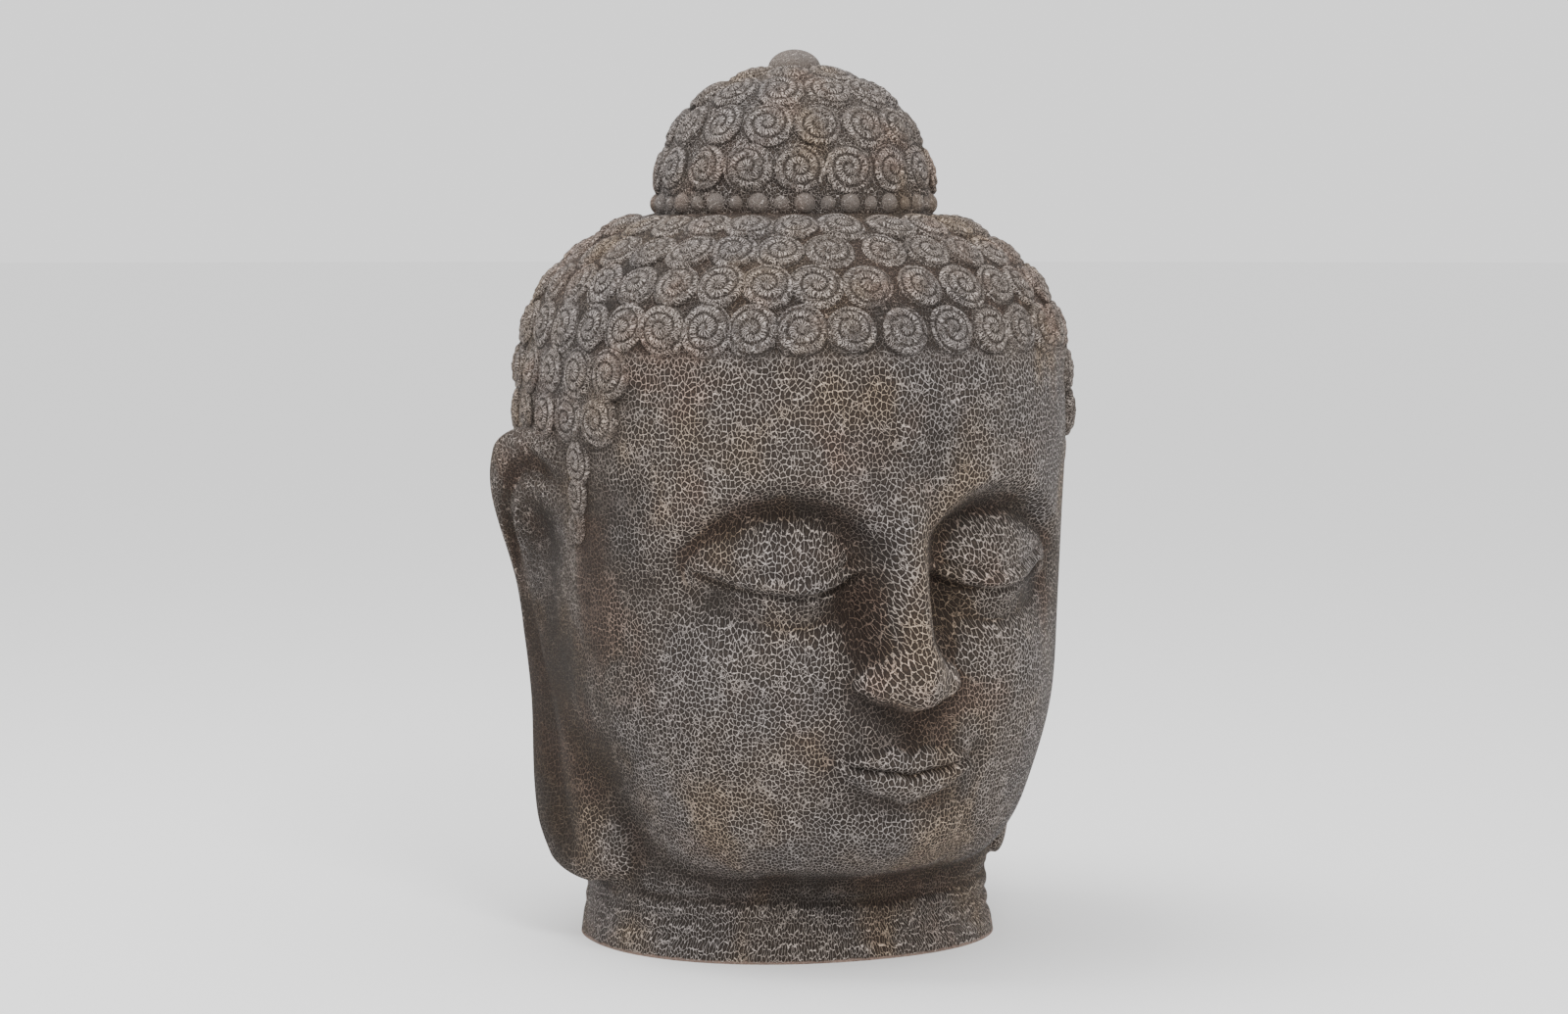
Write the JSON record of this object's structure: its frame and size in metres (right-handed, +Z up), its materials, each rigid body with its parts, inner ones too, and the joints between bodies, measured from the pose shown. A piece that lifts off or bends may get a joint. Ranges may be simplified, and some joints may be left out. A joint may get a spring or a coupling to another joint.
{
  "type": "buddha head sculpture",
  "caption": "Standing garden head of a Buddha, cast in one piece, with closed eyes, long ears, rows of snail curls, a beaded topknot and a flat-cut neck.",
  "frame": {"origin": "centre of the neck's flat underside, on the surface that the head stands on", "axes": "+Z up through the topknot, -Y out of the face, +X towards the sculpture's own left ear"},
  "size_m": [0.6863, 0.7197, 0.9999],
  "materials": {
    "weathered_stone": "matte grey-brown cast stone, all over a fine raised crackle with lighter edges"
  },
  "bodies": {
    "root": {"buddha_head": "weathered_stone"}
  },
  "joints": []
}
